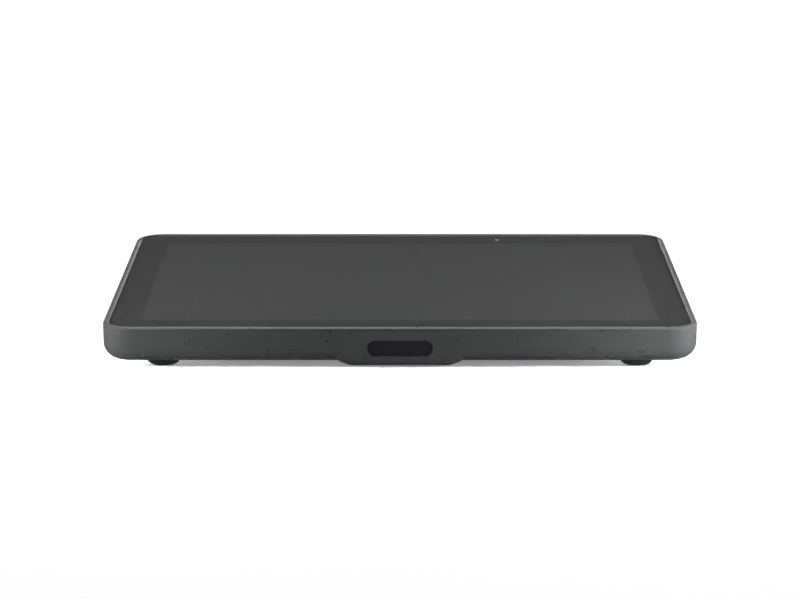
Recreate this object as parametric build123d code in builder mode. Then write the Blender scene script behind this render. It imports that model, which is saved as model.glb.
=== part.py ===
"""Tabletop smart display: a thin touch-screen slab on a wedge base, in millimetres.

The row frame stands on the table: +Z up, the user sits at -Y, and the origin is the centre of
the footprint on the table. The slab is drawn on `deck`, a plane leaning back by `lean`, whose
local x runs across the screen, local y runs from the front edge to the back edge, and whose
offset is the height above the glass. Depths below the glass are given as positive numbers, and
so are distances behind the slab's front edge.
"""

from build123d import *
from math import cos, radians, sin
import os

# ---------------------------------------------------------------- slab
lean = 12.0  # degrees that the screen leans back
slab_width = 246.8
slab_depth = 167.0
slab_thickness = 15.0  # glass surface to underside
corner_radius = 12.0  # plan corners of the slab
belly_radius = 6.5  # round lower edge of the slab
edge_radius = 1.0  # outer top edge of the rim
rim_proud = 0.35  # rim height above the glass
rim_bevel = 0.4  # inner top edge of the rim
rim_width = 2.4
floor_thickness = 1.6
table_gap = 2.85  # lowest point of the slab above the table

# ---------------------------------------------------------------- picture
active_width = 216.96  # 10.1 inch panel, 16:10
active_depth = 135.6
active_front = 14.5  # front edge of the slab to the picture
glass_gap = 0.3
glass_thickness = 1.1
glass_bevel = 0.25

# ---------------------------------------------------------------- chin with the motion sensor
chin_width = 56.4
chin_depth = 50.0
chin_foot_width = 41.6  # flat underside, narrower than the chin's face
chin_slope = 2.9  # height of the slopes beside the flat underside
chin_side_radius = 6.0
chin_foot_radius = 8.0
chin_edge = 4.2
chin_top = 3.0
chin_bottom = 16.65
chin_room_width, chin_room_depth = 40.0, 22.0
pill_width = 27.2
pill_height = 6.8
pill_centre = 8.5  # depth of the sensor window below the glass
pill_play = 0.15
pill_inset = 0.5
detector_centre = 9.2  # depth of the motion detector below the glass
detector_height = 3.0
motion_board_front = 9.0
motion_board_width, motion_board_height, motion_board_thickness = 26.0, 7.0, 1.0

# ---------------------------------------------------------------- wedge base
base_width = 160.0
base_corner = 14.0
base_lift = 2.0  # underside of the base above the table
base_front_from_edge = 60.0
base_rear_from_edge = 150.0
base_wall = 2.2
base_edge = 2.0
bay_half_width = 62.0  # cable bay behind the ports
bay_front_from_edge = 105.0
bay_roof = 2.0
port_wall = 2.0
cheek_wall = 3.0  # between the cable bay and a speaker
groove_low, groove_high, groove_depth = 3.0, 4.6, 1.6
cover_play = 0.3
tall = 50.0  # taller than any point of the base before it is cut to the slab

# ---------------------------------------------------------------- hardware
screw_head_radius = 2.2
screw_hole_radius = 1.4
screw_sink = 0.8
frame_post_radius = 3.0
board_post_radius = 2.6
pilot_radius = 0.85
board_hole_radius = 1.1
board_head_radius = 1.9
board_shank_radius = 0.8
base_post_radius = 3.4
base_post_height = 10.0
insert_radius, insert_bore, insert_height = 3.0, 1.65, 1.6
insert_spacing_x, insert_spacing_y = 100.0, 22.0

# ---------------------------------------------------------------- derived frame
lean_cos, lean_sin = cos(radians(lean)), sin(radians(lean))
front_z = table_gap + belly_radius * (1 - lean_sin) + (slab_thickness - belly_radius) * lean_cos
nose = edge_radius * (lean_cos - 1) + (edge_radius - rim_proud) * lean_sin
tail = (
    (slab_depth - belly_radius) * lean_cos
    + (slab_thickness - belly_radius) * lean_sin
    + belly_radius
)
front_y = -(nose + tail) / 2
deck = Plane(origin=(0, front_y, front_z), x_dir=(1, 0, 0), z_dir=(0, -lean_sin, lean_cos))
side = Plane(origin=deck.origin, x_dir=deck.y_dir, z_dir=(1, 0, 0))
window_plane = Plane(deck.origin, x_dir=(1, 0, 0), z_dir=-deck.y_dir)
belly_plane = deck.offset(-slab_thickness)
deck_up = Axis(deck.origin, deck.z_dir)
deck_back = Axis(deck.origin, deck.y_dir)
slab_middle = slab_depth / 2
floor_level = slab_thickness - floor_thickness

base_front = front_y + base_front_from_edge
base_rear = front_y + base_rear_from_edge
base_middle = (base_front + base_rear) / 2
bay_front = front_y + bay_front_from_edge
cavity_floor = base_lift + base_wall
port_face = Plane(origin=(0, bay_front, 0), x_dir=(1, 0, 0), z_dir=(0, -1, 0))

# layers below the glass surface
mask_bottom = glass_thickness + 0.1
glue_bottom = glass_thickness + 0.3
sensor_bottom = mask_bottom + 0.4
cell_middle = sensor_bottom + 0.8
cell_bottom = cell_middle + 0.8
backlight_bottom = cell_bottom + 2.6
frame_bottom = backlight_bottom + 1.2
board_top = frame_bottom + 1.0
board_bottom = board_top + 1.6

os.makedirs("parts", exist_ok=True)


def finish(builder, name):
    """Labels a finished piece and writes its STEP file."""
    builder.part.label = name
    export_step(builder.part, f"parts/{name}.step")


def mirrored(spots):
    """Each (x, y) spot and its mirror image across the screen's middle."""
    return [(sign * x, y) for x, y in spots for sign in (-1, 1)]


def on_side(from_edge, depth):
    """World (y, z) of a point `from_edge` behind the front edge and `depth` below the glass."""
    return (
        front_y + from_edge * lean_cos + depth * lean_sin,
        front_z + from_edge * lean_sin - depth * lean_cos,
    )


def deck_plate(x_mid, y_mid, width, depth, top, bottom):
    """A plate parallel to the glass, from `top` to `bottom` below it."""
    with BuildPart() as plate:
        with BuildSketch(deck.offset(-bottom)):
            with Locations((x_mid, y_mid)):
                Rectangle(width, depth)
        extrude(amount=bottom - top)
    return plate


def screws(plane, spots, head_radius, head_height, shank_radius, length):
    """Pan-head screws seated on `plane`, heads along its normal, with a cross recess."""
    with BuildPart() as group:
        with BuildSketch(plane):
            with Locations(*spots):
                Circle(head_radius)
        extrude(amount=head_height)
        head_rims = group.edges().filter_by(GeomType.CIRCLE)
        fillet(head_rims.group_by(Axis(plane.origin, plane.z_dir))[-1], radius=head_height / 3)
        with BuildSketch(plane):
            with Locations(*spots):
                Circle(shank_radius)
        extrude(amount=-length)
        with BuildSketch(plane.offset(head_height)):
            with Locations(*spots):
                Rectangle(head_radius * 1.2, head_radius * 0.3)
                Rectangle(head_radius * 0.3, head_radius * 1.2)
        extrude(amount=-head_height / 2, mode=Mode.SUBTRACT)
    return group


def ribbon(points, x_mid, width, thickness, bend=0.8, plane=side):
    """A flat flexible cable that follows `points` on `plane`, `width` wide across the screen."""
    with BuildPart() as cable:
        with BuildSketch(plane.offset(x_mid - width / 2)):
            with BuildLine():
                FilletPolyline(*points, radius=bend)
            trace(line_width=thickness)
        extrude(amount=width)
    return cable


# ================================================================ slab housing
front_foot_x = 99.0
front_foot_from_edge = 17.0
front_foot_radius = 6.8
front_foot_play = 0.25
front_foot_recess = 0.6

frame_screw_spots = mirrored([(111.0, 36.0), (111.0, 130.0), (50.0, 155.5)])
base_screw_spots = mirrored([(74.6, 72.0), (74.6, 140.0)])
board_x, board_y = -10.0, 113.0
board_width, board_depth = 126.0, 58.0
board_screw_inset = 4.0
board_screw_spots = [
    (
        board_x + across * (board_width / 2 - board_screw_inset),
        board_y + along * (board_depth / 2 - board_screw_inset),
    )
    for across in (-1, 1)
    for along in (-1, 1)
]
ribbon_slot_x, ribbon_slot_y = -30.0, 82.0  # the way from the slab down into the base
ribbon_slot_width, ribbon_slot_depth = 26.0, 5.0
chin_floor = chin_bottom - floor_thickness
motion_rib_width, motion_rib_thickness, motion_rib_height = 20.0, 0.8, 3.1
motion_rib_gap = 0.2

with BuildPart() as slab_cavity:
    with BuildSketch(deck.offset(rim_proud)):
        with Locations((0, slab_middle)):
            RectangleRounded(
                slab_width - 2 * rim_width, slab_depth - 2 * rim_width, corner_radius - rim_width
            )
    extrude(amount=-(floor_level + rim_proud))
    fillet(slab_cavity.faces().sort_by(deck_up)[0].edges(), radius=belly_radius - rim_width)

with BuildPart() as chin:
    with BuildSketch(window_plane) as chin_face:
        with BuildLine():
            Polyline(
                (-chin_width / 2, -chin_top),
                (-chin_width / 2, chin_slope - chin_bottom),
                (-chin_foot_width / 2, -chin_bottom),
                (chin_foot_width / 2, -chin_bottom),
                (chin_width / 2, chin_slope - chin_bottom),
                (chin_width / 2, -chin_top),
                close=True,
            )
        make_face()
        fillet(chin_face.vertices().group_by(Axis.Y)[1], radius=chin_side_radius)
        fillet(chin_face.vertices().group_by(Axis.Y)[0], radius=chin_foot_radius)
    extrude(amount=-chin_depth)
    for end in (0, -1):
        end_face = chin.faces().sort_by(deck_back)[end]
        fillet(end_face.edges().sort_by(deck_up)[:-1], radius=chin_edge)

with BuildPart() as housing:
    with BuildSketch(deck.offset(rim_proud)):
        with Locations((0, slab_middle)):
            RectangleRounded(slab_width, slab_depth, corner_radius)
    extrude(amount=-(slab_thickness + rim_proud))
    fillet(housing.faces().sort_by(deck_up)[0].edges(), radius=belly_radius)
    fillet(housing.faces().sort_by(deck_up)[-1].edges(), radius=edge_radius)
    add(chin.part)
    # hollow for the display and the main board
    add(slab_cavity.part, mode=Mode.SUBTRACT)
    chamfer(housing.faces().sort_by(deck_up)[-1].inner_wires()[0].edges(), length=rim_bevel)
    # room for the motion sensor inside the chin
    with BuildSketch(deck.offset(-frame_bottom)):
        with Locations((0, rim_width + chin_room_depth / 2)):
            Rectangle(chin_room_width, chin_room_depth)
    extrude(amount=frame_bottom - chin_floor, mode=Mode.SUBTRACT)
    # ribs that hold the lower edge of the motion board
    rib_step = motion_board_thickness / 2 + motion_rib_thickness / 2 + motion_rib_gap
    rib_middle = motion_board_front + motion_board_thickness / 2
    with BuildSketch(deck.offset(-chin_floor)):
        with Locations((0, rib_middle - rib_step), (0, rib_middle + rib_step)):
            Rectangle(motion_rib_width, motion_rib_thickness)
    extrude(amount=motion_rib_height)
    # sensor window opening
    with BuildSketch(window_plane):
        with Locations((0, -pill_centre)):
            SlotOverall(pill_width, pill_height)
    extrude(amount=-(rim_width + 4.0), mode=Mode.SUBTRACT)
    # posts for the main board, with pilot holes for its screws
    with BuildSketch(deck.offset(-floor_level)):
        with Locations(*board_screw_spots):
            Circle(board_post_radius)
    extrude(amount=floor_level - board_bottom)
    with BuildSketch(deck.offset(-board_bottom)):
        with Locations(*board_screw_spots):
            Circle(pilot_radius)
    extrude(amount=-2.6, mode=Mode.SUBTRACT)
    # holes for the screws that hold the display frame, sunk into the underside
    with BuildSketch(belly_plane):
        with Locations(*frame_screw_spots):
            Circle(screw_head_radius + 0.3)
    extrude(amount=screw_sink, mode=Mode.SUBTRACT)
    # holes for those screws and for the screws that go down into the base
    with BuildSketch(belly_plane):
        with Locations(*frame_screw_spots, *base_screw_spots):
            Circle(screw_hole_radius)
    extrude(amount=floor_thickness, mode=Mode.SUBTRACT)
    with BuildSketch(belly_plane):
        with Locations((ribbon_slot_x, ribbon_slot_y)):
            SlotOverall(ribbon_slot_width, ribbon_slot_depth)
    extrude(amount=floor_thickness, mode=Mode.SUBTRACT)
    # seats for the front feet
    with BuildSketch(belly_plane):
        with Locations(*mirrored([(front_foot_x, front_foot_from_edge)])):
            Circle(front_foot_radius + front_foot_play)
    extrude(amount=front_foot_recess, mode=Mode.SUBTRACT)
finish(housing, "housing")

# ================================================================ display stack
glass_width = slab_width - 2 * (rim_width + glass_gap)
glass_depth = slab_depth - 2 * (rim_width + glass_gap)
glass_corner = corner_radius - rim_width - glass_gap
mask_inset = 0.15  # the print stops just short of the glass edge
frame_gap = 0.6  # display frame to the housing's inner wall
frame_width = slab_width - 2 * (rim_width + frame_gap)
frame_depth = slab_depth - 2 * (rim_width + frame_gap)
frame_corner = corner_radius - rim_width - frame_gap
ledge_width = 2.6
glue_width = 2.4
frame_bevel = 1.0
light_sensor_x, light_sensor_y = 45.5, 156.4
light_lens_radius = 1.0

with BuildPart() as cover_glass:
    with BuildSketch(deck):
        with Locations((0, slab_middle)):
            RectangleRounded(glass_width, glass_depth, glass_corner)
    extrude(amount=-glass_thickness)
    chamfer(cover_glass.faces().sort_by(deck_up)[-1].edges(), length=glass_bevel)
finish(cover_glass, "cover_glass")

with BuildPart() as border_mask:
    with BuildSketch(deck.offset(-glass_thickness)):
        with Locations((0, slab_middle)):
            RectangleRounded(
                glass_width - 2 * mask_inset, glass_depth - 2 * mask_inset, glass_corner - mask_inset
            )
        with Locations((0, active_front + active_depth / 2)):
            Rectangle(active_width, active_depth, mode=Mode.SUBTRACT)
        with Locations((light_sensor_x, light_sensor_y)):
            Circle(light_lens_radius + 0.1, mode=Mode.SUBTRACT)
    extrude(amount=glass_thickness - mask_bottom)
finish(border_mask, "border_mask")

with BuildPart() as glass_adhesive:
    with BuildSketch(deck.offset(-mask_bottom)):
        with Locations((0, slab_middle)):
            RectangleRounded(frame_width, frame_depth, frame_corner)
            RectangleRounded(
                frame_width - 2 * glue_width,
                frame_depth - 2 * glue_width,
                frame_corner - glue_width,
                mode=Mode.SUBTRACT,
            )
    extrude(amount=mask_bottom - glue_bottom)
finish(glass_adhesive, "glass_adhesive")

cell_width, cell_front = 228.0, 8.0
touch_depth, upper_cell_depth = 145.5, 146.0
touch_sensor = deck_plate(
    0, cell_front + touch_depth / 2, cell_width, touch_depth, mask_bottom, sensor_bottom
)
finish(touch_sensor, "touch_sensor")

# two sheets: the upper one is larger, and carries the driver strip's contacts
with BuildPart() as lcd_panel:
    with BuildSketch(deck.offset(-cell_middle)):
        with Locations((0, cell_front + upper_cell_depth / 2)):
            Rectangle(cell_width, upper_cell_depth)
    extrude(amount=cell_middle - sensor_bottom)
    with BuildSketch(deck.offset(-cell_bottom)):
        with Locations((0, cell_front + 1.0 + (upper_cell_depth - 4.0) / 2)):
            Rectangle(cell_width - 2.0, upper_cell_depth - 4.0)
    extrude(amount=cell_bottom - cell_middle)
finish(lcd_panel, "lcd_panel")

backlight_width, backlight_depth, backlight_y = 230.0, 150.5, 82.75
pressed_width, pressed_depth, pressed_relief = 60.0, 50.0, 0.3
with BuildPart() as backlight_unit:
    with BuildSketch(deck.offset(-backlight_bottom)):
        with Locations((0, backlight_y)):
            RectangleRounded(backlight_width, backlight_depth, 1.0)
    extrude(amount=backlight_bottom - cell_bottom)
    # stiffening panels pressed into the tray
    with BuildSketch(deck.offset(-backlight_bottom)):
        with Locations((0, backlight_y)):
            with GridLocations(pressed_width + 14.0, pressed_depth + 16.0, 3, 2):
                Rectangle(pressed_width, pressed_depth)
    extrude(amount=pressed_relief, mode=Mode.SUBTRACT)
finish(backlight_unit, "backlight_unit")

driver_x, driver_y, driver_width, driver_depth = -30.0, 156.2, 100.0, 3.2
lcd_driver_board = deck_plate(
    driver_x, driver_y, driver_width, driver_depth, cell_middle, cell_bottom
)
finish(lcd_driver_board, "lcd_driver_board")

ribbon_drop_y = 159.4  # where the display's ribbons pass down through the frame
ribbon_gate_width, ribbon_gate_depth = 34.0, 1.6
frame_pocket_width, frame_pocket_depth, frame_pocket_y = 50.0, 44.0, 48.0
with BuildPart() as display_frame:
    with BuildSketch(deck.offset(-frame_bottom)):
        with Locations((0, slab_middle)):
            RectangleRounded(frame_width, frame_depth, frame_corner)
    extrude(amount=frame_bottom - glue_bottom)
    with BuildSketch(deck.offset(-backlight_bottom)):
        with Locations((0, slab_middle)):
            RectangleRounded(
                frame_width - 2 * ledge_width, frame_depth - 2 * ledge_width, frame_corner - ledge_width
            )
    extrude(amount=backlight_bottom - glue_bottom, mode=Mode.SUBTRACT)
    # the lower outside edge clears the curved inside of the housing
    chamfer(display_frame.faces().sort_by(deck_up)[0].edges(), length=frame_bevel)
    # gates for the ribbons, and lightening windows
    with BuildSketch(deck.offset(-backlight_bottom)):
        with Locations(*mirrored([(30.0, ribbon_drop_y)])):
            Rectangle(ribbon_gate_width, ribbon_gate_depth)
        with Locations((0, frame_pocket_y)):
            with GridLocations(frame_pocket_width + 16.0, 1.0, 3, 1):
                RectangleRounded(frame_pocket_width, frame_pocket_depth, 4.0)
    extrude(amount=backlight_bottom - frame_bottom, mode=Mode.SUBTRACT)
    # notch behind the motion sensor's window
    with BuildSketch(deck.offset(-glue_bottom)):
        with Locations((0, 6.0)):
            Rectangle(34.0, 12.0)
    extrude(amount=glue_bottom - frame_bottom, mode=Mode.SUBTRACT)
    # threaded posts that reach down to the housing's floor
    with BuildSketch(deck.offset(-frame_bottom)):
        with Locations(*frame_screw_spots):
            Circle(frame_post_radius)
    extrude(amount=frame_bottom - floor_level)
    with BuildSketch(deck.offset(-floor_level)):
        with Locations(*frame_screw_spots):
            Circle(1.0)
    extrude(amount=4.5, mode=Mode.SUBTRACT)
finish(display_frame, "display_frame")

# ribbons from the display down to the main board
flex = 0.2
socket_y = 136.0  # sockets on the main board's upper side
ribbon_run = -frame_bottom - 0.5
ribbon_end = [(ribbon_drop_y, ribbon_run), (socket_y + 0.5, ribbon_run)]
lcd_ribbon_x, lcd_ribbon_width = -30.0, 24.0
touch_ribbon_x, touch_ribbon_width = 22.0, 12.0
light_ribbon_x, light_ribbon_width = 43.0, 4.0

lcd_ribbon_height = -cell_middle + flex
lcd_ribbon = ribbon(
    [(157.2, lcd_ribbon_height), (ribbon_drop_y, lcd_ribbon_height), *ribbon_end],
    lcd_ribbon_x,
    lcd_ribbon_width,
    flex,
)
finish(lcd_ribbon, "lcd_ribbon")

touch_ribbon_height = -mask_bottom - flex
touch_ribbon = ribbon(
    [(153.6, touch_ribbon_height), (ribbon_drop_y, touch_ribbon_height), *ribbon_end],
    touch_ribbon_x,
    touch_ribbon_width,
    flex,
)
finish(touch_ribbon, "touch_ribbon")

light_ribbon_height = -(cell_middle + cell_bottom) / 2
light_sensor_ribbon = ribbon(
    [(158.4, light_ribbon_height), (ribbon_drop_y, light_ribbon_height), *ribbon_end],
    light_ribbon_x,
    light_ribbon_width,
    flex,
)
finish(light_sensor_ribbon, "light_sensor_ribbon")

light_board_width, light_board_depth = 10.0, 3.6
light_sensor_board = deck_plate(
    light_sensor_x,
    light_sensor_y + flex,
    light_board_width,
    light_board_depth,
    cell_middle,
    cell_bottom,
)
finish(light_sensor_board, "light_sensor_board")

with BuildPart() as light_sensor_lens:
    with BuildSketch(deck.offset(-glass_thickness)):
        with Locations((light_sensor_x, light_sensor_y)):
            Circle(light_lens_radius)
    extrude(amount=glass_thickness - cell_middle)
finish(light_sensor_lens, "light_sensor_lens")

# ================================================================ motion sensor in the chin
window_back = rim_width + 0.1
flange_width, flange_height, flange_drop = 31.0, 8.6, 0.4
with BuildPart() as motion_window:
    with BuildSketch(window_plane.offset(-pill_inset)):
        with Locations((0, -pill_centre)):
            SlotOverall(pill_width - 2 * pill_play, pill_height - 2 * pill_play)
    extrude(amount=pill_inset - window_back)
    with BuildSketch(window_plane.offset(-window_back)):
        with Locations((0, -pill_centre - flange_drop)):
            Rectangle(flange_width, flange_height)
    extrude(amount=-1.0)
finish(motion_window, "motion_window")

motion_board_centre = detector_centre + 0.6
with BuildPart() as motion_board:
    with BuildSketch(window_plane.offset(-motion_board_front)):
        with Locations((0, -motion_board_centre)):
            Rectangle(motion_board_width, motion_board_height)
    extrude(amount=-motion_board_thickness)
finish(motion_board, "motion_board")

with BuildPart() as motion_detector:
    with BuildSketch(window_plane.offset(-motion_board_front)):
        with Locations((0, -detector_centre)):
            RectangleRounded(7.0, 5.0, 0.8)
    extrude(amount=detector_height)
    with BuildSketch(window_plane.offset(detector_height - motion_board_front)):
        with Locations((0, -detector_centre)):
            Rectangle(4.4, 2.6)
    extrude(amount=-0.3, mode=Mode.SUBTRACT)
finish(motion_detector, "motion_detector")

motion_cable_x, motion_cable_width, motion_cable_thickness = 8.0, 4.0, 0.5
motion_cable_rise = -11.4  # where it leaves the motion board
motion_cable_floor = -12.5
motion_socket_y = 90.0
motion_cable = ribbon(
    [
        (motion_board_front + motion_board_thickness, motion_cable_rise),
        (20.0, motion_cable_rise),
        (20.0, motion_cable_floor),
        (motion_socket_y - 2.0, motion_cable_floor),
        (motion_socket_y - 2.0, -board_bottom - 1.2),
    ],
    motion_cable_x,
    motion_cable_width,
    motion_cable_thickness,
    bend=0.4,
)
finish(motion_cable, "motion_cable")

# ================================================================ main board
processor_x = board_x - 14.0
processor_size = 15.0
shield_width, shield_depth, shield_height, shield_sheet = 38.0, 34.0, 2.0, 0.3
shield_bottom = board_bottom + shield_height
pad_size, pad_bottom = 24.0, shield_bottom + 0.5
spreader_width, spreader_depth = 60.0, 42.0

with BuildPart() as main_board:
    with BuildSketch(deck.offset(-board_bottom)):
        with Locations((board_x, board_y)):
            RectangleRounded(board_width, board_depth, 3.0)
        with Locations(*board_screw_spots):
            Circle(board_hole_radius, mode=Mode.SUBTRACT)
    extrude(amount=board_bottom - board_top)
finish(main_board, "main_board")

with BuildPart() as main_board_chips:
    with BuildSketch(deck.offset(-board_bottom)):
        with Locations((board_x - 46, board_y + 4), (board_x - 46, board_y - 12)):
            Rectangle(11.0, 13.0)
        with Locations((board_x + 22, board_y + 14), (board_x + 40, board_y + 14)):
            Rectangle(8.0, 8.0)
        with Locations((board_x + 40, board_y - 4)):
            Rectangle(12.0, 12.0)
    extrude(amount=-1.1)
finish(main_board_chips, "main_board_chips")

with BuildPart() as shield_can:
    with BuildSketch(deck.offset(-board_bottom)):
        with Locations((processor_x, board_y)):
            RectangleRounded(shield_width, shield_depth, 1.0)
    extrude(amount=-shield_height)
    with BuildSketch(deck.offset(-board_bottom)):
        with Locations((processor_x, board_y)):
            Rectangle(shield_width - 2 * shield_sheet, shield_depth - 2 * shield_sheet)
    extrude(amount=-(shield_height - shield_sheet), mode=Mode.SUBTRACT)
finish(shield_can, "shield_can")

processor = deck_plate(
    processor_x, board_y, processor_size, processor_size, board_bottom, shield_bottom - 0.4
)
finish(processor, "processor")

thermal_pad = deck_plate(processor_x, board_y, pad_size, pad_size, shield_bottom, pad_bottom)
finish(thermal_pad, "thermal_pad")

heat_spreader = deck_plate(
    processor_x, board_y, spreader_width, spreader_depth, pad_bottom, floor_level
)
finish(heat_spreader, "heat_spreader")

socket_margin = 3.0  # a socket is this much wider than its ribbon
board_ribbon_width = 20.0
with BuildPart() as ribbon_sockets:
    with BuildSketch(deck.offset(-board_top)):
        for socket_x, ribbon_width in (
            (lcd_ribbon_x, lcd_ribbon_width),
            (touch_ribbon_x, touch_ribbon_width),
            (light_ribbon_x, light_ribbon_width),
        ):
            with Locations((socket_x, socket_y)):
                Rectangle(ribbon_width + socket_margin, 4.0)
    extrude(amount=0.35)
    with BuildSketch(deck.offset(-board_bottom)):
        for socket_x, ribbon_width in (
            (ribbon_slot_x, board_ribbon_width),
            (motion_cable_x, motion_cable_width),
        ):
            with Locations((socket_x, motion_socket_y)):
                Rectangle(ribbon_width + socket_margin, 3.0)
    extrude(amount=-1.0)
finish(ribbon_sockets, "ribbon_sockets")

main_board_screws = screws(
    deck.offset(-board_top), board_screw_spots, board_head_radius, 0.7, board_shank_radius, 4.0
)
finish(main_board_screws, "main_board_screws")

frame_screw_seat = belly_plane.offset(screw_sink)
frame_screws = screws(
    Plane(frame_screw_seat.origin, x_dir=(1, 0, 0), z_dir=-deck.z_dir),
    [(x, -y) for x, y in frame_screw_spots],
    screw_head_radius,
    0.7,
    0.95,
    4.6,
)
finish(frame_screws, "frame_screws")

base_screws = screws(
    deck.offset(-floor_level), base_screw_spots, screw_head_radius, 1.4, 1.0, 7.0
)
finish(base_screws, "base_screws")

# ================================================================ feet
front_foot_y = on_side(front_foot_from_edge, slab_thickness)[0]
sole_radius = 3.1
dome_middle = (5.4, 0.8)  # a point half way up the domed sole
dome_rise = 2.1
front_foot_tall = 9.0
for name, foot_x in (("front_foot_left", -front_foot_x), ("front_foot_right", front_foot_x)):
    with BuildPart() as front_foot:
        with BuildSketch(Plane(origin=(foot_x, front_foot_y, 0), x_dir=(1, 0, 0), z_dir=(0, -1, 0))):
            with BuildLine():
                Line((0, 0), (sole_radius, 0))
                ThreePointArc((sole_radius, 0), dome_middle, (front_foot_radius, dome_rise))
                Line((front_foot_radius, dome_rise), (front_foot_radius, front_foot_tall))
                Line((front_foot_radius, front_foot_tall), (0, front_foot_tall))
                Line((0, front_foot_tall), (0, 0))
            make_face()
        revolve(axis=Axis((foot_x, front_foot_y, 0), (0, 0, 1)))
        split(bisect_by=belly_plane.offset(front_foot_recess), keep=Keep.BOTTOM)
    finish(front_foot, name)

rear_foot_x = 71.0
rear_foot_y = front_y + 128.0
rear_foot_length, rear_foot_width = 34.0, 11.0
rear_foot_recess = 0.8
rear_foot_play = 0.15
for name, foot_x in (("rear_foot_left", -rear_foot_x), ("rear_foot_right", rear_foot_x)):
    with BuildPart() as rear_foot:
        with BuildSketch():
            with Locations((foot_x, rear_foot_y)):
                SlotOverall(rear_foot_length, rear_foot_width, rotation=90)
        extrude(amount=base_lift + rear_foot_recess)
        chamfer(rear_foot.faces().sort_by(Axis.Z)[0].edges(), length=0.5)
    finish(rear_foot, name)

# ================================================================ base
space_half = base_width / 2 - base_wall
space_front = base_front + base_wall
space_rear = bay_front - port_wall
space_middle = (space_front + space_rear) / 2
cheek_inner = bay_half_width + cheek_wall
cheek_x = (cheek_inner + space_half) / 2
cheek_rear = base_rear - 12.2
bay_reach = base_rear + 2.0 - bay_front
bay_y = bay_front + bay_reach / 2

lock_y, lock_z = front_y + 88.0, 9.0
lock_width, lock_height, lock_corner = 7.0, 3.0, 0.6
speaker_height = 14.0
speaker_y, speaker_z = front_y + 120.5, cavity_floor + speaker_height / 2
sound_slots, sound_pitch, sound_length, sound_width = 8, 3.2, 9.0, 1.4
insert_y = front_y + 85.0

board_face = 8.0  # top face of the connector board
io_board_thickness = 1.6
ethernet_x, ethernet_width, ethernet_height, ethernet_depth = -28.0, 16.0, 11.2, 14.0
usb_ports = (("power", 4.0), ("data", 20.0))
usb_width, usb_height, usb_depth, usb_sheet = 9.0, 3.3, 8.0, 0.3
usb_z = board_face + usb_height / 2
port_play = 0.3
reset_x, reset_z, reset_radius, reset_play = 36.0, 10.5, 1.5, 0.1

with BuildPart() as cable_bay:
    with BuildSketch():
        with Locations((0, bay_y)):
            Rectangle(2 * bay_half_width, bay_reach)
    extrude(amount=tall)
    split(bisect_by=belly_plane.offset(-bay_roof), keep=Keep.BOTTOM)

with BuildPart() as base_housing:
    with BuildSketch(Plane.XY.offset(base_lift)):
        with Locations((0, base_middle)):
            RectangleRounded(base_width, base_rear - base_front, base_corner)
    extrude(amount=tall)
    split(bisect_by=belly_plane, keep=Keep.BOTTOM)
    fillet(base_housing.faces().sort_by(Axis.Z)[0].edges(), radius=base_edge)
    # space for the connector board, open to a speaker space in each cheek
    with BuildSketch(Plane.XY.offset(cavity_floor)):
        with Locations((0, space_middle)):
            RectangleRounded(2 * space_half, space_rear - space_front, base_corner - base_wall)
        with Locations((0, (space_middle + space_rear) / 2)):
            Rectangle(2 * space_half, space_rear - space_middle)
        with Locations(*mirrored([(cheek_x, (space_rear + cheek_rear) / 2)])):
            Rectangle(space_half - cheek_inner, cheek_rear - space_rear)
    extrude(amount=tall, mode=Mode.SUBTRACT)
    add(cable_bay.part, mode=Mode.SUBTRACT)
    # grooves that the cable cover slides in
    with BuildSketch(Plane.XY.offset(groove_low)):
        with Locations((0, bay_y)):
            Rectangle(2 * (bay_half_width + groove_depth), bay_reach)
    extrude(amount=groove_high - groove_low, mode=Mode.SUBTRACT)
    # posts for the screws that come down from the slab
    with BuildSketch(belly_plane):
        with Locations(*base_screw_spots):
            Circle(base_post_radius)
    extrude(amount=-base_post_height)
    with BuildSketch(belly_plane):
        with Locations(*base_screw_spots):
            Circle(1.05)
    extrude(amount=-7.0, mode=Mode.SUBTRACT)
    # connector openings in the port wall
    with BuildSketch(port_face):
        with Locations((ethernet_x, board_face + ethernet_height / 2)):
            Rectangle(ethernet_width + 2 * port_play, ethernet_height + 2 * port_play)
        with Locations(*[(usb_x, usb_z) for tag, usb_x in usb_ports]):
            SlotOverall(usb_width + 2 * port_play, usb_height + 2 * port_play)
        with Locations((reset_x, reset_z)):
            Circle(reset_radius + reset_play)
    extrude(amount=port_wall, mode=Mode.SUBTRACT)
    # seats for the rear feet
    with BuildSketch(Plane.XY.offset(base_lift)):
        with Locations(*mirrored([(rear_foot_x, rear_foot_y)])):
            SlotOverall(
                rear_foot_length + 2 * rear_foot_play, rear_foot_width + 2 * rear_foot_play, rotation=90
            )
    extrude(amount=rear_foot_recess, mode=Mode.SUBTRACT)
    # seats for the threaded inserts of a table bracket
    with BuildSketch(Plane.XY.offset(base_lift)):
        with Locations((0, insert_y)):
            with GridLocations(insert_spacing_x, insert_spacing_y, 2, 2):
                Circle(insert_radius)
    extrude(amount=base_wall, mode=Mode.SUBTRACT)
    # sound slots in both cheeks
    for outward in (-1, 1):
        cheek_plane = Plane(origin=(outward * base_width / 2, 0, 0), x_dir=(0, 1, 0), z_dir=(1, 0, 0))
        with BuildSketch(cheek_plane):
            with Locations((speaker_y, speaker_z)):
                with GridLocations(sound_pitch, 1.0, sound_slots, 1):
                    SlotOverall(sound_length, sound_width, rotation=90)
        extrude(amount=-outward * base_wall, mode=Mode.SUBTRACT)
    # security slot in the left wall
    with BuildSketch(Plane(origin=(-base_width / 2, 0, 0), x_dir=(0, 1, 0), z_dir=(1, 0, 0))):
        with Locations((lock_y, lock_z)):
            RectangleRounded(lock_width, lock_height, lock_corner)
    extrude(amount=base_wall, mode=Mode.SUBTRACT)
finish(base_housing, "base_housing")

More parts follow.
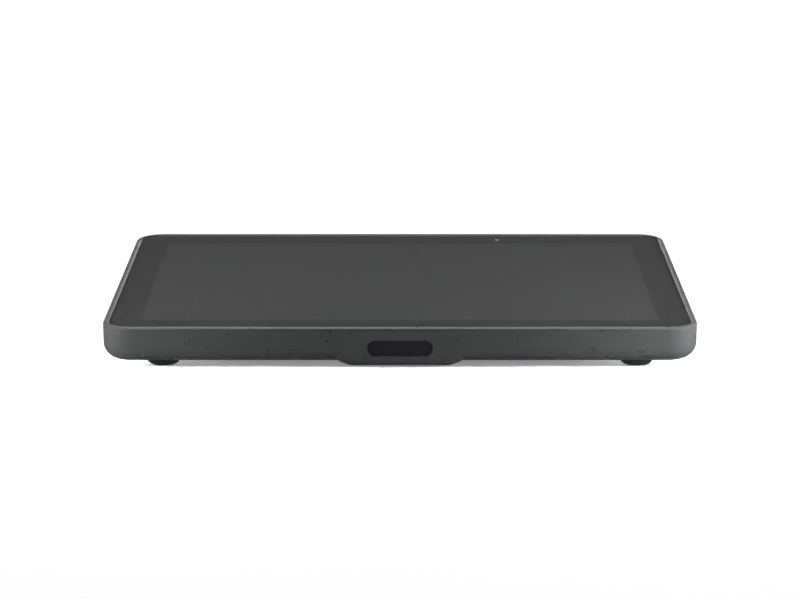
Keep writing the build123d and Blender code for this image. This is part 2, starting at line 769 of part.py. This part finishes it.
with BuildPart() as lock_plate:
    with BuildSketch(Plane(origin=(-space_half, 0, 0), x_dir=(0, 1, 0), z_dir=(1, 0, 0))):
        with Locations((lock_y, lock_z)):
            Rectangle(lock_width + 8.0, lock_height + 5.0)
            RectangleRounded(lock_width, lock_height, lock_corner, mode=Mode.SUBTRACT)
    extrude(amount=1.2)
finish(lock_plate, "lock_plate")

with BuildPart() as threaded_inserts:
    with BuildSketch(Plane.XY.offset(base_lift)):
        with Locations((0, insert_y)):
            with GridLocations(insert_spacing_x, insert_spacing_y, 2, 2):
                Circle(insert_radius)
                Circle(insert_bore, mode=Mode.SUBTRACT)
    extrude(amount=base_wall + insert_height)
finish(threaded_inserts, "threaded_inserts")

# ================================================================ connector board
io_board_width = 132.0
io_board_front = base_front + 4.0
io_board_rear = space_rear - 0.2
io_board_y = (io_board_front + io_board_rear) / 2
io_board_low = board_face - io_board_thickness
io_screw_spots = mirrored([(62.0, front_y + 80.0)])

with BuildPart() as io_board:
    with BuildSketch(Plane.XY.offset(io_board_low)):
        with Locations((0, io_board_y)):
            Rectangle(io_board_width, io_board_rear - io_board_front)
        with Locations(*io_screw_spots):
            Circle(board_hole_radius, mode=Mode.SUBTRACT)
    extrude(amount=io_board_thickness)
finish(io_board, "io_board")

with BuildPart() as io_board_spacers:
    with BuildSketch(Plane.XY.offset(cavity_floor)):
        with Locations(*io_screw_spots):
            Circle(board_post_radius)
            Circle(pilot_radius, mode=Mode.SUBTRACT)
    extrude(amount=io_board_low - cavity_floor)
finish(io_board_spacers, "io_board_spacers")

io_board_screws = screws(
    Plane.XY.offset(board_face), io_screw_spots, board_head_radius, 1.2, board_shank_radius, 3.6
)
finish(io_board_screws, "io_board_screws")

ballast_width, ballast_depth, ballast_thickness = 86.0, 34.0, 1.6
with BuildPart() as ballast_plate:
    with BuildSketch(Plane.XY.offset(cavity_floor)):
        with Locations((0, io_board_y)):
            Rectangle(ballast_width, ballast_depth)
    extrude(amount=ballast_thickness)
finish(ballast_plate, "ballast_plate")

plug_width, plug_height = 11.8, 7.2
latch_width, latch_height = 5.6, 1.6
with BuildPart() as ethernet_port:
    with BuildSketch(port_face):
        with Locations((ethernet_x, board_face + ethernet_height / 2)):
            Rectangle(ethernet_width, ethernet_height)
    extrude(amount=ethernet_depth)
    # the plug's room, with a keyway below it for the latch
    with BuildSketch(port_face):
        with Locations((ethernet_x, board_face + ethernet_height / 2 + 0.4)):
            Rectangle(plug_width, plug_height)
        with Locations((ethernet_x, board_face + latch_height)):
            Rectangle(latch_width, latch_height)
    extrude(amount=ethernet_depth - 2.0, mode=Mode.SUBTRACT)
finish(ethernet_port, "ethernet_port")

tongue_width, tongue_height, tongue_inset = 6.6, 0.7, 0.6
for tag, usb_x in usb_ports:
    with BuildPart() as usb_port:
        with BuildSketch(port_face):
            with Locations((usb_x, usb_z)):
                SlotOverall(usb_width, usb_height)
        extrude(amount=usb_depth)
        with BuildSketch(port_face):
            with Locations((usb_x, usb_z)):
                SlotOverall(usb_width - 2 * usb_sheet, usb_height - 2 * usb_sheet)
        extrude(amount=usb_depth - 1.0, mode=Mode.SUBTRACT)
        # contact tongue, joined to the closed back
        with BuildSketch(port_face.offset(tongue_inset)):
            with Locations((usb_x, usb_z)):
                Rectangle(tongue_width, tongue_height)
        extrude(amount=usb_depth - 1.0 - tongue_inset)
    finish(usb_port, f"usb_port_{tag}")

coil_height, capacitor_radius, capacitor_height = 4.5, 2.5, 5.4
with BuildPart() as power_parts:
    with BuildSketch(Plane.XY.offset(board_face)):
        with Locations((-52.0, front_y + 93.0)):
            Rectangle(13.0, 11.0)
        with Locations((-52.0, front_y + 80.0), (50.0, front_y + 92.0)):
            Rectangle(8.0, 8.0)
    extrude(amount=coil_height)
    with BuildSketch(Plane.XY.offset(board_face)):
        with Locations((48.0, front_y + 80.0), (58.0, front_y + 92.0), (38.0, front_y + 80.0)):
            Circle(capacitor_radius)
    extrude(amount=capacitor_height)
finish(power_parts, "power_parts")

with BuildPart() as reset_switch:
    with BuildSketch(Plane.XY.offset(board_face)):
        with Locations((reset_x, bay_front - 6.5)):
            Rectangle(6.0, 3.6)
    extrude(amount=4.0)
finish(reset_switch, "reset_switch")

button_flange, button_flange_radius, button_proud = 0.7, 2.1, 0.6
button_nub, button_nub_radius = 0.9, 0.9
flange_face = port_face.offset(port_wall + 0.2)
with BuildPart() as reset_button:
    with BuildSketch(flange_face):
        with Locations((reset_x, reset_z)):
            Circle(button_flange_radius)
    extrude(amount=button_flange)
    with BuildSketch(flange_face):
        with Locations((reset_x, reset_z)):
            Circle(reset_radius)
    extrude(amount=-(port_wall + 0.2 + button_proud))
    fillet(reset_button.faces().sort_by(Axis.Y)[-1].edges(), radius=0.3)
    with BuildSketch(flange_face.offset(button_flange)):
        with Locations((reset_x, reset_z)):
            Circle(button_nub_radius)
    extrude(amount=button_nub)
finish(reset_button, "reset_button")

# ribbon from the main board down to the connector board
drop_top = on_side(ribbon_slot_y, slab_thickness + 2.0)
board_ribbon_depth = board_bottom + 1.3
io_socket_y, io_socket_depth = front_y + 74.5, 3.4
io_plug_z = board_face + 1.1
board_ribbon = ribbon(
    [
        on_side(motion_socket_y - 0.5, board_ribbon_depth),
        on_side(ribbon_slot_y, board_ribbon_depth),
        drop_top,
        (drop_top[0], io_plug_z),
        (io_socket_y + io_socket_depth / 2 + 0.1, io_plug_z),
    ],
    ribbon_slot_x,
    board_ribbon_width,
    0.3,
    plane=Plane.YZ,
)
finish(board_ribbon, "board_ribbon")

with BuildPart() as board_ribbon_socket:
    with BuildSketch(Plane.XY.offset(board_face)):
        with Locations((ribbon_slot_x, io_socket_y)):
            Rectangle(board_ribbon_width + socket_margin, io_socket_depth)
    extrude(amount=2.2)
finish(board_ribbon_socket, "board_ribbon_socket")

# ================================================================ speakers and antennas
speaker_length, speaker_width = 31.0, 10.4
speaker_gap = 0.8  # speaker face to the cheek wall
cone_length, cone_height = 26.0, 10.0
cone_seat, cone_thickness, speaker_back = 1.6, 0.4, 1.2
antenna_width, antenna_length, antenna_thickness = 8.0, 24.0, 0.4
for tag, outward in (("left", -1), ("right", 1)):
    speaker_face = Plane(
        origin=(outward * (space_half - speaker_gap), 0, 0),
        x_dir=(0, outward, 0),
        z_dir=(outward, 0, 0),
    )
    speaker_spot = (outward * speaker_y, speaker_z)
    with BuildPart() as speaker_box:
        with BuildSketch(speaker_face):
            with Locations(speaker_spot):
                RectangleRounded(speaker_length, speaker_height, 1.5)
        extrude(amount=-speaker_width)
        with BuildSketch(speaker_face):
            with Locations(speaker_spot):
                SlotOverall(cone_length, cone_height)
        extrude(amount=-cone_seat, mode=Mode.SUBTRACT)
        with BuildSketch(speaker_face):
            with Locations(speaker_spot):
                SlotOverall(cone_length - 3.0, cone_height - 3.0)
        extrude(amount=-(speaker_width - speaker_back), mode=Mode.SUBTRACT)
    finish(speaker_box, f"speaker_box_{tag}")

    # diaphragm with a raised middle, and the coil former behind it
    cone_back = speaker_face.offset(-cone_seat)
    with BuildPart() as speaker_cone:
        with BuildSketch(cone_back):
            with Locations(speaker_spot):
                SlotOverall(cone_length, cone_height)
        extrude(amount=cone_thickness)
        with BuildSketch(cone_back.offset(cone_thickness)):
            with Locations(speaker_spot):
                SlotOverall(cone_length - 8.0, cone_height - 5.0)
        extrude(amount=0.6)
        with BuildSketch(cone_back):
            with Locations(speaker_spot):
                SlotOverall(cone_length - 9.0, cone_height - 6.0)
        extrude(amount=-4.0)
    finish(speaker_cone, f"speaker_cone_{tag}")

    with BuildPart() as antenna:
        with BuildSketch(Plane.XY.offset(speaker_z + speaker_height / 2)):
            with Locations((outward * cheek_x, speaker_y)):
                Rectangle(antenna_width, antenna_length)
        extrude(amount=antenna_thickness)
    finish(antenna, f"antenna_{tag}")

# ================================================================ cable cover
cover_front = bay_front + cover_play
cover_reach = base_rear - cover_front
cover_y = (cover_front + base_rear) / 2
cover_width = 2 * (bay_half_width - cover_play)
cover_sheet = 2.0
cover_top_gap = 0.4
tongue_low, tongue_rise = groove_low + cover_play, 0.7
tongue_span = 2 * (bay_half_width + groove_depth - cover_play)
notch_length, notch_width, notch_top = 36.0, 16.0, 12.0
grip_grooves, grip_pitch, grip_length, grip_width, grip_depth = 5, 3.0, 26.0, 1.4, 0.6
grip_y = base_rear - 30.0

with BuildPart() as cover_wall:
    with BuildSketch(Plane.XY.offset(base_lift)):
        with Locations((0, base_rear - base_wall / 2)):
            Rectangle(cover_width, base_wall)
    extrude(amount=tall)
    split(bisect_by=belly_plane.offset(-bay_roof - cover_top_gap), keep=Keep.BOTTOM)

with BuildPart() as cable_cover:
    with BuildSketch(Plane.XY.offset(base_lift)):
        with Locations((0, cover_y)):
            Rectangle(cover_width, cover_reach)
    extrude(amount=cover_sheet)
    add(cover_wall.part)
    lower_edges = cable_cover.edges().filter_by(Axis.X).group_by(Axis.Z)[0]
    fillet(lower_edges.sort_by(Axis.Y)[-1], radius=base_edge)
    # tongues that run in the base's grooves
    with BuildSketch(Plane.XY.offset(tongue_low)):
        with Locations((0, cover_y)):
            Rectangle(tongue_span, cover_reach)
    extrude(amount=tongue_rise)
    # notch that the cables leave through, open at the rear and below
    with BuildSketch(Plane.XY.offset(base_lift)):
        with Locations((0, base_rear)):
            SlotOverall(notch_length, notch_width, rotation=90)
    extrude(amount=notch_top - base_lift, mode=Mode.SUBTRACT)
    # finger grooves in the underside
    with BuildSketch(Plane.XY.offset(base_lift)):
        with Locations((0, grip_y)):
            with GridLocations(1.0, grip_pitch, 1, grip_grooves):
                SlotOverall(grip_length, grip_width)
    extrude(amount=grip_depth, mode=Mode.SUBTRACT)
finish(cable_cover, "cable_cover")
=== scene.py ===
"""Smart display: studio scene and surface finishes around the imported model."""
import math

import bmesh
import bpy
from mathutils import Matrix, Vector


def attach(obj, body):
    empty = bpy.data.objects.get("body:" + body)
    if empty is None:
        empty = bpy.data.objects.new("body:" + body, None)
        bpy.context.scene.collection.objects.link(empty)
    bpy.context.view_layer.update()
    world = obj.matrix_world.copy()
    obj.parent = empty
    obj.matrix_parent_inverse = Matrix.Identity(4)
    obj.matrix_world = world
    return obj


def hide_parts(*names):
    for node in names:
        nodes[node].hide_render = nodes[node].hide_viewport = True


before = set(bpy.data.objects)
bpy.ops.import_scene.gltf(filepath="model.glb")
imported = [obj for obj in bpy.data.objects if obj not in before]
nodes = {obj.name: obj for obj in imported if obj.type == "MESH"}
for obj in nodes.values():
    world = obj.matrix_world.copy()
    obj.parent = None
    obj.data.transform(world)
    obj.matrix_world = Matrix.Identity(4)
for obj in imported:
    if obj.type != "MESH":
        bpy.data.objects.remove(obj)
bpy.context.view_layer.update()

scene = bpy.context.scene

# ---------------------------------------------------------------- camera

CAMERA_AT = (0.0, -1.14139, 0.08239)  # m
CAMERA_DOWN = 2.93  # degrees below the horizon
LENS = 116.1  # mm
SENSOR_WIDTH = 36.0  # mm
NEAREST, FARTHEST = 0.01, 30.0  # m, what the camera sees

camera_data = bpy.data.cameras.new("camera")
camera_data.lens = LENS
camera_data.sensor_width = SENSOR_WIDTH
camera_data.clip_start = NEAREST
camera_data.clip_end = FARTHEST
camera = bpy.data.objects.new("camera", camera_data)
camera.location = CAMERA_AT
camera.rotation_euler = (math.radians(90 - CAMERA_DOWN), 0, 0)
scene.collection.objects.link(camera)
scene.camera = camera

# ---------------------------------------------------------------- materials

IOR = 1.5  # of plastic and glass
NOISE_SPAN = (0.3, 0.7)  # the middle of the noise values, stretched over the full range
UNWORN_COSINE, WORN_COSINE = 0.97, 0.85  # between the true normal and the bevelled one
BEVEL_SAMPLES = 4
WEAR_PATCHES = 900.0  # noise scale of the breaks in worn edges, per metre
WEAR_SPAN = (0.4, 0.6)  # noise values between the least and the full wear
LEAST_WEAR = 0.3

# A mix node of colours: its sockets for the first and second colour and for the result.
MIX_FIRST, MIX_SECOND, MIX_RESULT = 6, 7, 2


class Surface:
    """A Principled material, built up node by node in the object's own coordinates."""

    def __init__(self, name, colour, rough, metallic=0.0, specular=0.5):
        self.material = bpy.data.materials.new(name)
        self.material.use_nodes = True
        self.tree = self.material.node_tree
        self.shader = next(n for n in self.tree.nodes if n.type == "BSDF_PRINCIPLED")
        self.put("Base Color", (*colour, 1.0))
        self.put("Roughness", rough)
        self.put("Metallic", metallic)
        self.put("Specular IOR Level", specular)
        self.put("IOR", IOR)
        self.place = self.node("ShaderNodeTexCoord").outputs["Object"]
        self.colour = colour
        self.rough = rough
        self.bump = None

    def put(self, socket, value):
        self.shader.inputs[socket].default_value = value
        return self

    def node(self, kind, **settings):
        made = self.tree.nodes.new(kind)
        for key, value in settings.items():
            setattr(made, key, value)
        return made

    def link(self, output, target):
        self.tree.links.new(output, target)

    def stretched(self, scale):
        """The object's coordinates, scaled along each axis, for a long grain on metal."""
        mapping = self.node("ShaderNodeMapping")
        mapping.inputs["Scale"].default_value = scale
        self.link(self.place, mapping.inputs["Vector"])
        return mapping.outputs["Vector"]

    def noise(self, scale, detail=3.0, softness=0.5, at=None):
        made = self.node("ShaderNodeTexNoise")
        made.inputs["Scale"].default_value = scale
        made.inputs["Detail"].default_value = detail
        made.inputs["Roughness"].default_value = softness
        self.link(at or self.place, made.inputs["Vector"])
        return made.outputs["Fac"]

    def ranged(self, value, low, high, to_low, to_high):
        made = self.node("ShaderNodeMapRange")
        self.link(value, made.inputs["Value"])
        limits = {"From Min": low, "From Max": high, "To Min": to_low, "To Max": to_high}
        for key, number in limits.items():
            made.inputs[key].default_value = number
        return made.outputs["Result"]

    def maths(self, operation, a, b):
        made = self.node("ShaderNodeMath", operation=operation)
        for socket, value in zip(made.inputs, (a, b)):
            if isinstance(value, (int, float)):
                socket.default_value = value
            else:
                self.link(value, socket)
        return made.outputs["Value"]

    def mixed(self, share, first, second):
        """A colour between two: each is an RGB tuple or another node's colour."""
        made = self.node("ShaderNodeMix", data_type="RGBA")
        self.link(share, made.inputs["Factor"])
        for key, colour in ((MIX_FIRST, first), (MIX_SECOND, second)):
            if isinstance(colour, tuple):
                made.inputs[key].default_value = (*colour, 1.0)
            else:
                self.link(colour, made.inputs[key])
        return made.outputs[MIX_RESULT]

    def mottled(self, amount, scale):
        """A slow light and dark drift in the colour, as amount times the colour either way."""
        dark = tuple(c * (1 - amount) for c in self.colour)
        light = tuple(c * (1 + amount) for c in self.colour)
        share = self.ranged(self.noise(scale, 4.0), *NOISE_SPAN, 0.0, 1.0)
        self.colour_out = self.mixed(share, dark, light)
        self.link(self.colour_out, self.shader.inputs["Base Color"])
        return self

    def smudged(self, amount, scale, at=None):
        """Roughness that drifts by amount either way."""
        out = self.ranged(self.noise(scale, 5.0, 0.6, at), *NOISE_SPAN,
                          self.rough - amount, self.rough + amount)
        self.link(out, self.shader.inputs["Roughness"])
        return self

    def grained(self, scale, height, detail=2.0, at=None):
        """Fine relief, height in metres."""
        made = self.node("ShaderNodeBump")
        made.inputs["Distance"].default_value = height
        made.inputs["Strength"].default_value = 1.0
        self.link(self.noise(scale, detail, 0.5, at), made.inputs["Height"])
        if self.bump is not None:
            self.link(self.bump, made.inputs["Normal"])
        self.bump = made.outputs["Normal"]
        self.link(self.bump, self.shader.inputs["Normal"])
        return self

    def worn(self, colour, radius, share):
        """Edges rubbed to another colour over about radius metres."""
        bevel = self.node("ShaderNodeBevel", samples=BEVEL_SAMPLES)
        bevel.inputs["Radius"].default_value = radius
        geometry = self.node("ShaderNodeNewGeometry")
        dot = self.node("ShaderNodeVectorMath", operation="DOT_PRODUCT")
        self.link(bevel.outputs["Normal"], dot.inputs[0])
        self.link(geometry.outputs["Normal"], dot.inputs[1])
        edge = self.ranged(dot.outputs["Value"], UNWORN_COSINE, WORN_COSINE, 0.0, 1.0)
        patchy = self.ranged(self.noise(WEAR_PATCHES, 4.0), *WEAR_SPAN, LEAST_WEAR, 1.0)
        edge = self.maths("MULTIPLY", self.maths("MULTIPLY", edge, patchy), share)
        self.colour_out = self.mixed(edge, self.colour_out, colour)
        self.link(self.colour_out, self.shader.inputs["Base Color"])
        return self


def brighter(colour, factor):
    return tuple(min(1.0, c * factor) for c in colour)


def moulded(name, colour, rough, grain=2600.0, height=0.000016, specular=0.5):
    """Fine-textured moulded plastic: grain per metre, its height in metres."""
    made = Surface(name, colour, rough, specular=specular)
    made.mottled(amount=0.05, scale=60.0).smudged(amount=0.035, scale=220.0)
    made.grained(grain, height).grained(grain / 7, height * 0.8)
    made.worn(brighter(colour, 1.6), radius=0.0005, share=0.5)
    return made


def metal(name, colour, rough):
    """Metal with a drawn grain."""
    made = Surface(name, colour, rough, metallic=1.0)
    made.mottled(amount=0.06, scale=90.0)
    grain = made.stretched((1.0, 1.0, 14.0))
    made.smudged(amount=0.07, scale=500.0, at=grain)
    made.grained(scale=1500.0, height=0.000006, at=grain)
    made.worn(brighter(colour, 1.25), radius=0.0003, share=0.6)
    return made


SHELL_COLOUR = (0.019, 0.0192, 0.0195)

SLOTS = {
    # outside
    "housing": moulded("housing_finish", (0.0127, 0.0129, 0.0131), rough=0.3, specular=0.42),
    "base": moulded("base_finish", SHELL_COLOUR, rough=0.5, grain=1500.0, height=0.00003),
    "cover": moulded("cover_finish", SHELL_COLOUR, rough=0.5, grain=1500.0, height=0.00003),
    "button": moulded("button_finish", (0.03, 0.03, 0.03), rough=0.35),
    "foot_rubber": moulded("foot_rubber_finish", (0.016, 0.016, 0.0162), rough=0.65,
                           grain=1800.0, height=0.00003, specular=0.2),
    "sensor_window": moulded("sensor_window_finish", (0.0045, 0.0045, 0.005), rough=0.2,
                             grain=3000.0, height=0.000002, specular=0.1),
    # under the glass
    "black_print": moulded("black_print_finish", (0.012, 0.012, 0.0122), rough=0.35,
                           specular=0.0),
    "lcd": moulded("lcd_finish", (0.022, 0.0223, 0.0226), rough=0.3, specular=0.0),
    "sensor_film": moulded("sensor_film_finish", (0.03, 0.03, 0.03), rough=0.2, specular=0.0),
    "adhesive": moulded("adhesive_finish", (0.012, 0.012, 0.012), rough=0.8,
                        grain=3000.0, height=0.00004, specular=0.3),
    "backlight": metal("backlight_finish", (0.7, 0.7, 0.71), rough=0.35),
    "clear_plastic": moulded("clear_plastic_finish", (0.5, 0.5, 0.52), rough=0.15),
    # inside
    "speaker_box": moulded("speaker_box_finish", (0.02, 0.02, 0.02), rough=0.5),
    "speaker_cone": moulded("speaker_cone_finish", (0.03, 0.03, 0.03), rough=0.6,
                            grain=1800.0, height=0.00003, specular=0.35),
    "connector_plastic": moulded("connector_finish", (0.3, 0.28, 0.22), rough=0.45),
    "chip": moulded("chip_finish", (0.02, 0.02, 0.022), rough=0.4),
    "cable_jacket": moulded("cable_jacket_finish", (0.02, 0.02, 0.02), rough=0.45),
    "thermal_pad": moulded("thermal_pad_finish", (0.12, 0.17, 0.22), rough=0.75,
                           grain=1800.0, height=0.00004, specular=0.3),
    "circuit_board": moulded("circuit_board_finish", (0.01, 0.07, 0.03), rough=0.35),
    "flex": moulded("flex_finish", (0.3, 0.12, 0.02), rough=0.3),
    "steel": metal("steel_finish", (0.55, 0.55, 0.56), rough=0.3),
    "screw": metal("screw_finish", (0.3, 0.3, 0.31), rough=0.35),
    "frame_metal": metal("frame_metal_finish", (0.5, 0.51, 0.52), rough=0.45),
    "heat_spreader": metal("heat_spreader_finish", (0.6, 0.6, 0.61), rough=0.35),
    "brass": metal("brass_finish", (0.6, 0.42, 0.16), rough=0.3),
    "ballast": metal("ballast_finish", (0.35, 0.35, 0.36), rough=0.4),
    "antenna": metal("antenna_finish", (0.65, 0.35, 0.16), rough=0.3),
}
SLOTS["sensor_film"].put("Alpha", 0.12)
SLOTS["clear_plastic"].put("Alpha", 0.5)

glass = Surface("cover_glass_finish", (0.93, 0.94, 0.95), rough=0.03)
glass.put("Transmission Weight", 1.0)
glass.smudged(amount=0.012, scale=40.0)
SLOTS["cover_glass"] = glass

for node in nodes.values():
    for holder in node.material_slots:
        name = holder.material.name
        if name in SLOTS:
            holder.material = SLOTS[name].material

# ---------------------------------------------------------------- cover glass

LEAN = math.radians(12)  # of the screen, from level
BOND = 0.00002  # m, clear gap that keeps the glass off the print below it
UNDERSIDE_DEPTH = 0.00001  # m, points this near the lowest one belong to the underside
deck_normal = Vector((0, -math.sin(LEAN), math.cos(LEAN)))


def make_cover_glass():
    """The pane, its underside clear and without reflection, as if bonded to the layers below."""
    mesh = nodes["cover_glass"].data.copy()
    mesh.name = "front_pane"
    pane = bpy.data.objects.new("front_pane", mesh)
    scene.collection.objects.link(pane)
    bonded = bpy.data.materials.new("bonded_underside")
    bonded.use_nodes = True
    bonded.node_tree.nodes.clear()
    clear = bonded.node_tree.nodes.new("ShaderNodeBsdfTransparent")
    output = bonded.node_tree.nodes.new("ShaderNodeOutputMaterial")
    bonded.node_tree.links.new(clear.outputs["BSDF"], output.inputs["Surface"])
    mesh.materials.append(bonded)
    underside = min(v.co.dot(deck_normal) for v in mesh.vertices) + UNDERSIDE_DEPTH
    for face in mesh.polygons:
        if all(mesh.vertices[v].co.dot(deck_normal) < underside for v in face.vertices):
            face.material_index = len(mesh.materials) - 1
    for vertex in mesh.vertices:
        if vertex.co.dot(deck_normal) < underside:
            vertex.co += deck_normal * BOND
    pane.visible_shadow = False
    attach(pane, "display")
    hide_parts("cover_glass")


make_cover_glass()

# ---------------------------------------------------------------- stage

FLOOR_RINGS = (0.4, 1.2)  # m, radii of the rings between the middle and the curve
WALL_RADIUS = 2.6  # m
WALL_HEIGHT = 0.95  # m
CURVE_RADIUS = 0.25  # m
CURVE_STEPS = 12
ROUND_STEPS = 128
FLOOR_DROP = 0.00005  # m, keeps the floor just below the soles of the feet
FLOOR_GLOW = 0.25  # lightens the shadow under the slab


def make_stage():
    """A round pale floor whose edge curves up into a low wall."""
    profile = [(radius, 0.0) for radius in FLOOR_RINGS]
    for i in range(CURVE_STEPS + 1):
        turn = math.radians(90 * i / CURVE_STEPS)
        profile.append((WALL_RADIUS - CURVE_RADIUS + CURVE_RADIUS * math.sin(turn),
                        CURVE_RADIUS * (1 - math.cos(turn))))
    profile.append((WALL_RADIUS, WALL_HEIGHT))
    mesh = bpy.data.meshes.new("stage")
    build = bmesh.new()
    middle = build.verts.new((0, 0, 0))
    turns = [2 * math.pi * k / ROUND_STEPS for k in range(ROUND_STEPS)]
    rings = [[build.verts.new((radius * math.cos(turn), radius * math.sin(turn), height))
              for turn in turns]
             for radius, height in profile]
    for k in range(ROUND_STEPS):
        after = (k + 1) % ROUND_STEPS
        build.faces.new((middle, rings[0][k], rings[0][after]))
        for inner, outer in zip(rings, rings[1:]):
            build.faces.new((inner[k], outer[k], outer[after], inner[after]))
    for face in build.faces:
        face.smooth = True
    build.to_mesh(mesh)
    build.free()
    stage = bpy.data.objects.new("stage", mesh)
    stage.location.z = -FLOOR_DROP
    scene.collection.objects.link(stage)
    paper = Surface("paper", (0.86, 0.86, 0.86), rough=0.8, specular=0.2)
    paper.mottled(amount=0.01, scale=3.0).grained(scale=700.0, height=0.00002)
    paper.put("Emission Color", (1.0, 1.0, 1.0, 1.0)).put("Emission Strength", FLOOR_GLOW)
    mesh.materials.append(paper.material)
    stage.visible_glossy = False  # so the lower edges of the slab don't mirror the pale floor


make_stage()

# ---------------------------------------------------------------- light


def soft_light(name, at, towards, size, power, mirrored=True):
    """A rectangular lamp, size in metres and power in watts. It is out of the camera's sight."""
    data = bpy.data.lights.new(name, "AREA")
    data.shape = "RECTANGLE"
    data.size, data.size_y = size
    data.energy = power
    lamp = bpy.data.objects.new(name, data)
    lamp.location = at
    lamp.rotation_euler = (Vector(towards) - Vector(at)).to_track_quat("-Z", "Y").to_euler()
    lamp.visible_camera = False
    lamp.visible_glossy = mirrored
    scene.collection.objects.link(lamp)


soft_light("key_light", at=(0.0, -1.0, 1.5), towards=(0, 0, 0), size=(0.9, 0.9), power=1.6)
soft_light("top_light", at=(0.0, 0.0, 2.0), towards=(0, 0, 0), size=(0.7, 1.5), power=28.0)
soft_light("back_light", at=(0.0, 1.1, 1.15), towards=(0, 0, 0.03), size=(1.3, 0.35), power=2.2)
soft_light("wall_light", at=(0.0, 1.5, 1.5), towards=(0, 2.6, 0.2), size=(2.4, 0.3), power=16.0)
# One lamp beside each end of the front edge, and one behind for each side rim's bright line.
for side, turned, side_power in (("right", 1, 2.3), ("left", -1, 1.35)):
    soft_light("side_light_" + side, at=(turned * 0.20, -0.125, 0.05),
               towards=(turned * 0.11, -0.083, 0.015), size=(0.13, 0.08), power=side_power,
               mirrored=False)
for side, turned in (("right", 1), ("left", -1)):
    soft_light("edge_light_" + side, at=(turned * 0.19, 1.14, 0.40), towards=(0.0, 0.0, 0.04),
               size=(0.14, 0.06), power=0.2)

world = bpy.data.worlds.new("studio")
world.use_nodes = True
background = world.node_tree.nodes["Background"]
background.inputs["Color"].default_value = (0.135, 0.135, 0.137, 1)
background.inputs["Strength"].default_value = 1.0
scene.world = world
scene.view_settings.view_transform = "Standard"
scene.view_settings.look = "None"
